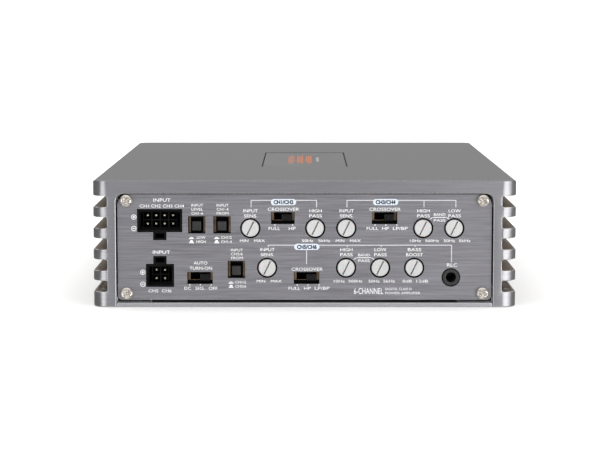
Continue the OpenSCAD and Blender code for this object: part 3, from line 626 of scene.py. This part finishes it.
def wound_core():
    """The toroid: enamelled wire in one layer round a ring core, touching at the inner edge."""
    low, high = span_mm("transformer_winding")
    middle = (low + high) / 2
    outer = (high.x - low.x) / 2
    mid_r = (outer + CORE_HOLE_RADIUS) / 2
    half_r = (outer - CORE_HOLE_RADIUS) / 2 - WIRE_RADIUS
    half_z = (high.z - low.z) / 2 - WIRE_RADIUS
    curve = bpy.data.curves.new("wire", "CURVE")
    curve.dimensions = "3D"
    curve.bevel_depth = WIRE_RADIUS * MM
    curve.bevel_resolution = 2
    line = curve.splines.new("POLY")
    count = WIRE_TURNS * STEPS_PER_TURN
    line.points.add(count - 1)
    for i in range(count):
        around = 2 * math.pi * i / count
        a = 2 * math.pi * i / STEPS_PER_TURN
        squircle = (abs(math.cos(a)) ** 4 + abs(math.sin(a)) ** 4) ** 0.25
        r = mid_r + half_r * math.cos(a) / squircle
        z = middle.z + half_z * math.sin(a) / squircle
        point = Vector((middle.x + r * math.cos(around), middle.y + r * math.sin(around), z)) * MM
        line.points[i].co = (*point, 1)
    line.use_cyclic_u = True
    holder = bpy.data.objects.new("wire", curve)
    scene.collection.objects.link(holder)
    mesh = bmesh.new()
    mesh.from_mesh(holder.to_mesh())
    holder.to_mesh_clear()
    bpy.data.objects.remove(holder)
    add_piece("wound_wire", mesh, copper_wire, "transformer_winding", smooth=True)
    core = bmesh.new()
    half_r -= WIRE_RADIUS
    half_z -= WIRE_RADIUS
    lathe(core, [(mid_r - half_r, -half_z), (mid_r + half_r, -half_z), (mid_r + half_r, half_z),
                 (mid_r - half_r, half_z), (mid_r - half_r, -half_z)], 48)
    bmesh.ops.remove_doubles(core, verts=core.verts, dist=0.001 * MM)
    bmesh.ops.translate(core, verts=core.verts, vec=middle * MM)
    add_piece("ring_core", core, ferrite, "transformer_winding")


panel_screws()
switch_shields()
wound_core()


# ---------- printing ----------

INK = 0.02
FONT_CAP_HEIGHT = 0.729


class Print:
    """Flat printed shapes collected into one thin closed mesh on a plane of the object."""

    def __init__(self, name, material, slot, origin, right, up, layer=0):
        self.name = name
        self.material = material
        self.slot = slot
        self.origin = Vector(origin)
        self.right = Vector(right)
        self.up = Vector(up)
        self.out = self.right.cross(self.up)
        self.low = layer * INK
        self.mesh = bmesh.new()

    def point(self, x, z, height):
        return (self.origin + self.right * x + self.up * z + self.out * height) * MM

    def slab(self, outline):
        """A closed slab of ink from an outline that runs anticlockwise."""
        base = [self.mesh.verts.new(self.point(x, z, self.low)) for x, z in outline]
        top = [self.mesh.verts.new(self.point(x, z, self.low + INK)) for x, z in outline]
        self.mesh.faces.new(top)
        self.mesh.faces.new(base[::-1])
        for i in range(len(outline)):
            j = (i + 1) % len(outline)
            self.mesh.faces.new((base[i], base[j], top[j], top[i]))

    def bar(self, x0, x1, z0, z1):
        """A rectangle from its left, right, lower and upper sides."""
        self.slab([(x0, z0), (x1, z0), (x1, z1), (x0, z1)])

    def line(self, x0, z0, x1, z1, width):
        """A stroke with square ends, half its width past both points."""
        along = Vector((x1 - x0, z1 - z0)).normalized() * width / 2
        side = Vector((-along.y, along.x))
        ends = [Vector((x0, z0)) - along, Vector((x1, z1)) + along]
        corners = [ends[0] - side, ends[1] - side, ends[1] + side, ends[0] + side]
        self.slab([tuple(c) for c in corners])

    def pill(self, x, z, width, height):
        """A bar with round ends."""
        r = height / 2
        reach = width / 2 - r
        outline = []
        for start, cx in ((-90, x + reach), (90, x - reach)):
            for i in range(13):
                a = math.radians(start + 15 * i)
                outline.append((cx + r * math.cos(a), z + r * math.sin(a)))
        self.slab(outline)

    def ring(self, x, z, outer, inner, steps=32):
        """A closed band of ink between two circles."""
        top = self.low + INK
        circles = []
        for radius, height in ((outer, top), (outer, self.low), (inner, self.low), (inner, top)):
            circle = []
            for i in range(steps):
                a = 2 * math.pi * i / steps
                place = self.point(x + radius * math.cos(a), z + radius * math.sin(a), height)
                circle.append(self.mesh.verts.new(place))
            circles.append(circle)
        for first, second in zip(circles, circles[1:] + circles[:1]):
            for i in range(steps):
                j = (i + 1) % steps
                self.mesh.faces.new((first[j], first[i], second[i], second[j]))

    def text(self, words, x, z, height, width=None, weight=0.0):
        """Words centred at x, z, with capitals of the given height, squeezed to the given width."""
        curve = bpy.data.curves.new("words", "FONT")
        curve.body = words
        curve.size = 1.0
        curve.offset = weight
        curve.resolution_u = 3
        curve.extrude = 0.01
        curve.align_x = "CENTER"
        piece = bpy.data.objects.new("words", curve)
        scene.collection.objects.link(piece)
        flat = piece.to_mesh()
        scale_z = height / FONT_CAP_HEIGHT
        lowest = min(v.co.x for v in flat.vertices)
        highest = max(v.co.x for v in flat.vertices)
        scale_x = scale_z if width is None else width / (highest - lowest)
        middle = (lowest + highest) / 2
        made = []
        for v in flat.vertices:
            raised = self.low + (INK if v.co.z > 0 else 0.0)
            place = self.point(x + (v.co.x - middle) * scale_x, z + v.co.y * scale_z - height / 2, raised)
            made.append(self.mesh.verts.new(place))
        for face in flat.polygons:
            corners = [made[i] for i in face.vertices]
            if len(set(corners)) == len(corners):
                self.mesh.faces.new(corners)
        piece.to_mesh_clear()
        bpy.data.objects.remove(piece)
        bpy.data.curves.remove(curve)

    def build(self, body="root"):
        """Makes one piece of the collected shapes, and lets it ride a body."""
        bmesh.ops.remove_doubles(self.mesh, verts=self.mesh.verts, dist=0.0005 * MM)
        data = bpy.data.meshes.new(self.name)
        self.mesh.to_mesh(data)
        self.mesh.free()
        data.materials.append(self.material)
        piece = bpy.data.objects.new(self.name, data)
        scene.collection.objects.link(piece)
        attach(piece, body)


FRONT = ((0, panel_low.y, 0), (1, 0, 0), (0, 0, 1))
REAR = ((0, rear_high.y, 0), (-1, 0, 0), (0, 0, 1))
TOP = ((0, 0, badge_high.z), (1, 0, 0), (0, 1, 0))

legends = Print("panel_legends", white_ink, "white_nylon", *FRONT)
rules = Print("panel_rules", grey_ink, "white_nylon", *FRONT)
pills = Print("channel_pills", pill_ink, "white_nylon", *FRONT, layer=1)
pill_words = Print("channel_names", dark_ink, "black_plastic", *FRONT, layer=2)
# Painted shadow gaps, printed in near-black ink
shadow_rims = Print("painted_hole_shadows", shadow_ink, "black_plastic", *FRONT)

# Line widths, and heights of capitals
LINE = 0.3
FINE_LINE = 0.22
TINY = 0.95
SMALL = 1.0
MEDIUM = 1.12
TITLE = 1.15
LARGE = 1.25


def label_trimmer(node, words, low_mark, high_mark, upper):
    """Two title lines over a trimmer, and its scale marks below."""
    c = centre_mm(node)
    shift = 0.0 if upper else 0.3
    for (word, width), rise in zip(words, (6.2, 4.4)):
        legends.text(word, c.x + 0.1, c.z + rise + shift, MEDIUM, width)
    for mark, offset, width in (low_mark, high_mark):
        legends.text(mark, c.x + offset, c.z - 4.4 - shift, SMALL, width)


# Words with their widths, and scale marks with their offsets and widths
SENS = (("INPUT", 5.1), ("SENS.", 4.7))
HIGH = (("HIGH", 4.3), ("PASS", 4.4))
LOW = (("LOW", 4.2), ("PASS", 4.4))
BASS = (("BASS", 4.7), ("BOOST", 5.9))
MIN = ("MIN", -2.2, 3.0)
MAX = ("MAX", 3.2, 3.8)

label_trimmer("shaft_sens_a", SENS, MIN, MAX, True)
label_trimmer("shaft_highpass_a", HIGH, ("50Hz", -2.7, 4.0), ("5kHz", 3.2, 4.1), True)
label_trimmer("shaft_sens_b", SENS, MIN, MAX, True)
label_trimmer("shaft_highpass_b", HIGH, ("10Hz", -2.7, 3.9), ("500Hz", 3.2, 4.9), True)
label_trimmer("shaft_lowpass_b", LOW, ("50Hz", -1.7, 4.0), ("5kHz", 3.7, 4.1), True)
label_trimmer("shaft_sens_c", SENS, MIN, MAX, False)
label_trimmer("shaft_highpass_c", HIGH, ("10Hz", -2.4, 3.9), ("500Hz", 3.3, 4.9), False)
label_trimmer("shaft_lowpass_c", LOW, ("50Hz", -2.1, 4.0), ("5kHz", 3.2, 4.1), False)
label_trimmer("shaft_bass_c", BASS, ("0dB", -2.4, 3.3), ("12dB", 2.9, 4.1), False)


def label_slide(node, travel, window_x, title, marks):
    """A title over a slide switch, and a tick and a name under each of its positions."""
    c = centre_mm(node)
    if title:
        legends.text(title, window_x, c.z + 3.15, TITLE, 11.0)
    for word, offset, width in marks:
        legends.text(word, window_x + offset, c.z - 3.65, MEDIUM, width)
    for offset in travel:
        legends.line(window_x + offset, c.z - 2.55, window_x + offset, c.z - 2.4, LINE)


label_slide("knob_crossover_a", (-3.0, 3.2), -7.45, "CROSSOVER",
            (("FULL", -3.2, 4.0), ("HP", 3.1, 2.4)))
label_slide("knob_crossover_b", (-3.5, 0.3, 4.2), 28.3, "CROSSOVER",
            (("FULL", -4.4, 4.1), ("HP", 0.2, 2.4), ("LP/BP", 5.4, 5.2)))
label_slide("knob_crossover_c", (-3.5, 0.3, 4.2), 0.9, "CROSSOVER",
            (("FULL", -4.5, 4.1), ("HP", 0.1, 2.4), ("LP/BP", 5.3, 5.2)))
label_slide("knob_turn_on", (-3.6, 0.1, 3.9), -36.9, None,
            (("DC", -4.4, 2.3), ("SIG.", 0.0, 3.3), ("OFF", 4.6, 3.1)))
turn_on_z = centre_mm("knob_turn_on").z
legends.text("AUTO", -36.7, turn_on_z + 5.35, MEDIUM, 4.8)
legends.text("TURN-ON", -36.6, turn_on_z + 3.5, MEDIUM, 7.9)


def push_glyph(x, z, pressed):
    """A button drawn out of its bar, or level with it."""
    legends.bar(x - 0.85, x + 0.85, z - 0.55, z - 0.27)
    rise = 0.12 if pressed else 0.5
    legends.slab([(x - 0.62, z - 0.15), (x + 0.62, z - 0.15), (x + 0.4, z + rise), (x - 0.4, z + rise)])


def label_push(node, title, states):
    """Three small title lines over a push button, and a glyph and a name for in and out."""
    c = centre_mm(node)
    for i, (word, width) in enumerate(title):
        legends.text(word, c.x + 0.2, c.z + 7.25 - 1.42 * i, TINY, width)
    for i, (word, width) in enumerate(states):
        z = c.z - 4.15 - 1.5 * i
        push_glyph(c.x - 1.9, z, i == 0)
        legends.text(word, c.x + 1.5, z, 0.98, width)


label_push("cap_level", (("INPUT", 4.2), ("LEVEL", 4.0), ("CH1-6", 4.1)),
           (("LOW", 3.0), ("HIGH", 3.3)))
label_push("cap_source_a", (("INPUT", 4.2), ("CH1-4", 4.1), ("FROM", 4.1)),
           (("CH1/2", 3.7), ("CH1-4", 3.7)))
label_push("cap_source_c", (("INPUT", 4.2), ("CH5/6", 4.1), ("FROM", 4.1)),
           (("CH1/2", 3.8), ("CH5/6", 3.8)))


SIGN_REACH = 0.45
SIGN_STROKE = 0.12
SIGN_RING = 0.7
POLARITY_GAP = 1.25


def polarity(x, z, positive):
    """A plus or a minus in a ring."""
    legends.ring(x, z, 0.9, SIGN_RING)
    legends.bar(x - SIGN_REACH, x + SIGN_REACH, z - SIGN_STROKE, z + SIGN_STROKE)
    if positive:
        legends.bar(x - SIGN_STROKE, x + SIGN_STROKE, z + SIGN_STROKE, z + SIGN_REACH)
        legends.bar(x - SIGN_STROKE, x + SIGN_STROKE, z - SIGN_REACH, z - SIGN_STROKE)


header_x = centre_mm("input_header_8way").x
low8, high8 = span_mm("input_header_8way")
low4, high4 = span_mm("input_header_4way")
legends.text("INPUT", header_x + 0.85, high8.z + 3.3, LARGE, 6.1)
for i in range(4):
    legends.text(f"CH{i + 1}", header_x - 5.35 + 4.1 * i, high8.z + 1.2, MEDIUM, 3.3)
polarity(low8.x - POLARITY_GAP, high8.z - 2.75, True)
polarity(low8.x - POLARITY_GAP, high8.z - 6.8, False)
legends.text("INPUT", header_x + 0.55, high4.z + 1.5, LARGE, 6.1)
for i in range(2):
    legends.text(f"CH{i + 5}", header_x - 2.4 + 4.7 * i, low4.z - 1.45, MEDIUM, 3.4)
polarity(low4.x - POLARITY_GAP, low4.z + 5.15, True)
polarity(low4.x - POLARITY_GAP, low4.z + 0.85, False)
legends.text("RLC", centre_mm("remote_jack").x + 0.4, 14.75, LARGE, 3.6)

# Rules that group the controls of each pair of channels, with the pair's name on a pill
top_rule = centre_mm("shaft_sens_a").z + 9.85
mid_rule = centre_mm("shaft_sens_c").z + 8.05
for x, rule, words in ((-7.4, top_rule, "CH1/CH2"), (28.5, top_rule, "CH3/CH4"),
                       (0.8, mid_rule, "CH5/CH6")):
    pills.pill(x, rule - 0.6, 8.9, 2.2)
    pill_words.text(words, x, rule - 0.6, 1.35, 7.0, 0.045)
for legs in ((-18.8, 4.2), (14.9, 42.0, 53.2)):
    rules.line(legs[0], top_rule, legs[-1], top_rule, LINE)
    for x in legs:
        rules.line(x, top_rule - LINE, x, top_rule - 2.3, LINE)
rules.line(-12.8, mid_rule, 51.8, mid_rule, LINE)
for x in (-12.8, 15.0, 27.0, 39.0):
    rules.line(x, mid_rule - LINE, x, mid_rule - 0.5, LINE)
rules.line(51.8, mid_rule - LINE, 51.8, mid_rule - 5.8, LINE)
rules.line(0.7, mid_rule - 1.9, 0.7, mid_rule - 6.6, LINE)


def band_pass(x, z, reach):
    """The BAND PASS note between a high-pass and a low-pass trimmer, tied to both."""
    legends.text("BAND", x, z + 1.1, TINY, 4.1)
    legends.text("PASS", x, z - 0.95, TINY, 4.1)
    bend = reach - 0.9
    legends.line(x - bend, z + 0.1, x + bend, z + 0.1, FINE_LINE)
    for side in (-1, 1):
        legends.line(x + side * bend, z + 0.1, x + side * reach, z - 0.5, FINE_LINE)


between_upper = (centre_mm("shaft_highpass_b") + centre_mm("shaft_lowpass_b")) / 2
between_lower = (centre_mm("shaft_highpass_c") + centre_mm("shaft_lowpass_c")) / 2
band_pass(between_upper.x + 0.3, between_upper.z + 3.75, 3.3)
band_pass(between_lower.x + 0.3, between_lower.z + 3.5, 3.5)

legends.text("6-CHANNEL", 22.6, 5.5, 2.2, 10.3)
legends.text("DIGITAL CLASS D", 33.15, 6.2, 0.88, 9.3)
legends.text("POWER AMPLIFIER", 34.7, 4.75, 0.88, 12.4)

# Painted shadow: dark rims round the trimmers' holes and along the top of the panel, where it meets the
# roof, stand for shadow gaps
RIM_OUTER = 3.6
RIM_INNER = 3.3
RIM_END = 4.0
for node in nodes:
    if node.startswith("shaft_"):
        c = centre_mm(node)
        shadow_rims.ring(c.x, c.z, RIM_OUTER, RIM_INNER)
shadow_rims.bar(panel_low.x + RIM_END, panel_high.x - RIM_END, panel_high.z - 0.17, panel_high.z - 0.01)

for sheet in (legends, rules, pills, pill_words, shadow_rims):
    sheet.build()

# Rear panel: what each terminal and socket is for
REAR_TITLE = 1.7
rear_words = Print("rear_legends", white_ink, "white_nylon", *REAR)
block_top = span_mm("terminal_block")[1].z
for node, word, width in (("screw_battery", "BATT +", 7.6), ("screw_ground", "GND", 5.0),
                          ("screw_remote", "REM", 4.8)):
    rear_words.text(word, -centre_mm(node).x, block_top + 2.2, 1.5, width)
speaker_low, speaker_high = span_mm("speaker_header")
for node, title, rise, width in (("terminal_block", "POWER INPUT", 6.2, 17.5),
                                 ("fuse_holder", "FUSE", 3.4, 6.6),
                                 ("speaker_header", "SPEAKER OUTPUT", 6.0, 21.5)):
    rear_words.text(title, -centre_mm(node).x, span_mm(node)[1].z + rise, REAR_TITLE, width)
for i in range(6):
    column_x = centre_mm("speaker_header").x + 4.2 * (i - 2.5)
    rear_words.text(f"CH{6 - i}", -column_x, speaker_high.z + 2.4, TITLE, 3.4)
sign_x = -(speaker_high.x + 1.9)
plus_z = speaker_low.z + 7.0
for z in (plus_z, speaker_low.z + 2.8):
    rear_words.ring(sign_x, z, 0.95, SIGN_RING)
    rear_words.bar(sign_x - SIGN_REACH, sign_x + SIGN_REACH, z - SIGN_STROKE, z + SIGN_STROKE)
rear_words.bar(sign_x - SIGN_STROKE, sign_x + SIGN_STROKE, plus_z - SIGN_REACH, plus_z + SIGN_REACH)
led = centre_mm("status_led")
rear_words.text("STATUS", -led.x, led.z + 3.4, TITLE, 6.0)
rear_words.build()

# Fuses: the rating and the two test contacts on the end of each
for node in ("fuse_upper", "fuse_lower"):
    c = centre_mm(node)
    end = ((0, span_mm(node)[1].y, 0), (-1, 0, 0), (0, 0, 1))
    rating = Print(node + "_rating", white_ink, "white_nylon", *end)
    rating.text("30", -c.x, c.z, 2.5, 3.6)
    rating.build(node)
    contacts = Print(node + "_contacts", contact_tin, "plated_contact", *end)
    for x in (-c.x - 6.6, -c.x + 6.6):
        contacts.bar(x - 0.8, x + 0.8, c.z - 0.9, c.z + 0.9)
    contacts.build(node)

# Badge: a bar-graph mark and a fine line, printed on the inlay
BAR_LENGTHS = (36, 42, 34, 0, 40, 30, 42, 0, 32, 42, 38)
BAR_STEP = 0.86
BAR_WIDTH = 0.6
mark = Print("badge_mark", orange_ink, "fuse_green", *TOP)
fine = Print("badge_line", pale_ink, "white_nylon", *TOP)
for i, length in enumerate(BAR_LENGTHS):
    if length:
        x = -6.4 + BAR_STEP * i
        mark.bar(x, x + BAR_WIDTH, -length / 2, length / 2)
fine.bar(4.6, 5.7, -12, 12)
mark.build()
fine.build()


# ---------- studio ----------

AIM = Vector((0, 0, 0.02))
FLOOR_SIZE = 60.0
FLOOR_DROP = 0.0002
FRONT_TINT = (0.985, 0.99, 1.06)
ABOVE_TINT = (1.02, 1.01, 0.97)
STRIP_TINT = (1.02, 1.0, 0.98)
STRIP_MIDDLE_Z = -0.16
STRIP_TALL = 0.72

# Each low strip light: its name, x and y, width and watts
STRIPS = (("left_strip", -0.69, -1.0, 0.66, 1.75), ("right_strip", 0.675, -1.02, 0.76, 2.95),
          ("right_edge_strip", 1.06, -0.6, 0.55, 1.2))
TENT_LIGHT = 1.21
ROOM_SIDES = 0.05

# Each side of the room: its axis, where the light starts and where it is full, strength and tint
ROOM_LIGHTS = (("Y", -0.45, -0.9, 0.2, FRONT_TINT), ("Y", 0.3, 0.9, 0.11, ABOVE_TINT),
               ("X", 0.7, 1.0, 0.15, ABOVE_TINT), ("X", -0.7, -1.0, 0.05, ABOVE_TINT),
               ("Z", 0.1, 0.7, 0.52, ABOVE_TINT), ("Z", -0.5, -0.95, 0.5, ABOVE_TINT))

CAMERA_DISTANCE = 0.707
CAMERA_HEIGHT = 0.1042
CAMERA_PITCH = 6.07
SENSOR_MM = 36.0
LENS_MM = 119.4
LENS_SHIFT = 0.0007
NEAR_CLIP = 0.05


def area_light(name, place, size, power, tint):
    """A rectangular light that faces the object."""
    data = bpy.data.lights.new(name, "AREA")
    data.shape = "RECTANGLE"
    data.size, data.size_y = size
    data.energy = power
    data.color = tint
    lamp = bpy.data.objects.new(name, data)
    lamp.location = place
    lamp.rotation_euler = (AIM - Vector(place)).to_track_quat("-Z", "Y").to_euler()
    scene.collection.objects.link(lamp)


def studio_floor():
    """A matt white floor that throws no shadow and is not mirrored in the object."""
    data = bpy.data.meshes.new("studio_floor")
    sheet = bmesh.new()
    bmesh.ops.create_grid(sheet, x_segments=8, y_segments=8, size=FLOOR_SIZE)
    sheet.to_mesh(data)
    sheet.free()
    f = Finish("studio_white", Specular_IOR_Level=0.1)
    f.colour(f.mix(f.levels(f.noise(2.0), 0.3, 0.7), grey(0.95), grey(0.97)))
    f.rough(0.9)
    data.materials.append(f.material)
    floor = bpy.data.objects.new("studio_floor", data)
    floor.location.z = -FLOOR_DROP
    floor.visible_glossy = False
    floor.visible_shadow = False
    scene.collection.objects.link(floor)


def ramp(tree, value, low, high, top):
    """A smooth rise of a value from 0 at low to top at high."""
    made = tree.nodes.new("ShaderNodeMapRange")
    made.interpolation_type = "SMOOTHSTEP"
    tree.links.new(value, made.inputs["Value"])
    for name, number in zip(RANGE_SOCKETS, (low, high, 0.0, top)):
        made.inputs[name].default_value = number
    return made.outputs["Result"]


def studio_world():
    """A white tent for matt surfaces. Shiny ones see a grey room with a few softly lit sides."""
    world = bpy.data.worlds.new("studio")
    scene.world = world
    world.use_nodes = True
    tree = world.node_tree
    tent = tree.nodes["Background"]
    tent.inputs["Color"].default_value = (1, 1, 1, 1)
    tent.inputs["Strength"].default_value = TENT_LIGHT
    toward = tree.nodes.new("ShaderNodeSeparateXYZ")
    tree.links.new(tree.nodes.new("ShaderNodeTexCoord").outputs["Generated"], toward.inputs[0])
    room = tree.nodes.new("ShaderNodeBackground")
    room.inputs["Strength"].default_value = ROOM_SIDES
    for axis, low, high, strength, tint in ROOM_LIGHTS:
        part = tree.nodes.new("ShaderNodeBackground")
        part.inputs["Color"].default_value = (*tint, 1)
        tree.links.new(ramp(tree, toward.outputs[axis], low, high, strength), part.inputs["Strength"])
        total = tree.nodes.new("ShaderNodeAddShader")
        tree.links.new(room.outputs[0], total.inputs[0])
        tree.links.new(part.outputs[0], total.inputs[1])
        room = total
    mixed = tree.nodes.new("ShaderNodeMixShader")
    tree.links.new(tree.nodes.new("ShaderNodeLightPath").outputs["Is Glossy Ray"], mixed.inputs[0])
    tree.links.new(tent.outputs[0], mixed.inputs[1])
    tree.links.new(room.outputs[0], mixed.inputs[2])
    tree.links.new(mixed.outputs[0], tree.nodes["World Output"].inputs["Surface"])


def studio_camera():
    """A camera in front of the middle of the panel, higher than the roof and looking a little down."""
    lens = bpy.data.cameras.new("camera")
    lens.sensor_width = SENSOR_MM
    lens.lens = LENS_MM
    lens.shift_x = LENS_SHIFT
    lens.clip_start = NEAR_CLIP
    camera = bpy.data.objects.new("camera", lens)
    camera.location = (0, body_low.y * MM - CAMERA_DISTANCE, CAMERA_HEIGHT)
    camera.rotation_euler = (math.radians(90 - CAMERA_PITCH), 0, 0)
    scene.collection.objects.link(camera)
    scene.camera = camera


studio_floor()
studio_world()
area_light("overhead", (0, -0.1, 1.5), (2.4, 2.0), 8, ABOVE_TINT)
for name, x, y, width, power in STRIPS:
    area_light(name, (x, y, STRIP_MIDDLE_Z), (width, STRIP_TALL), power, STRIP_TINT)
studio_camera()
scene.view_settings.view_transform = "Standard"
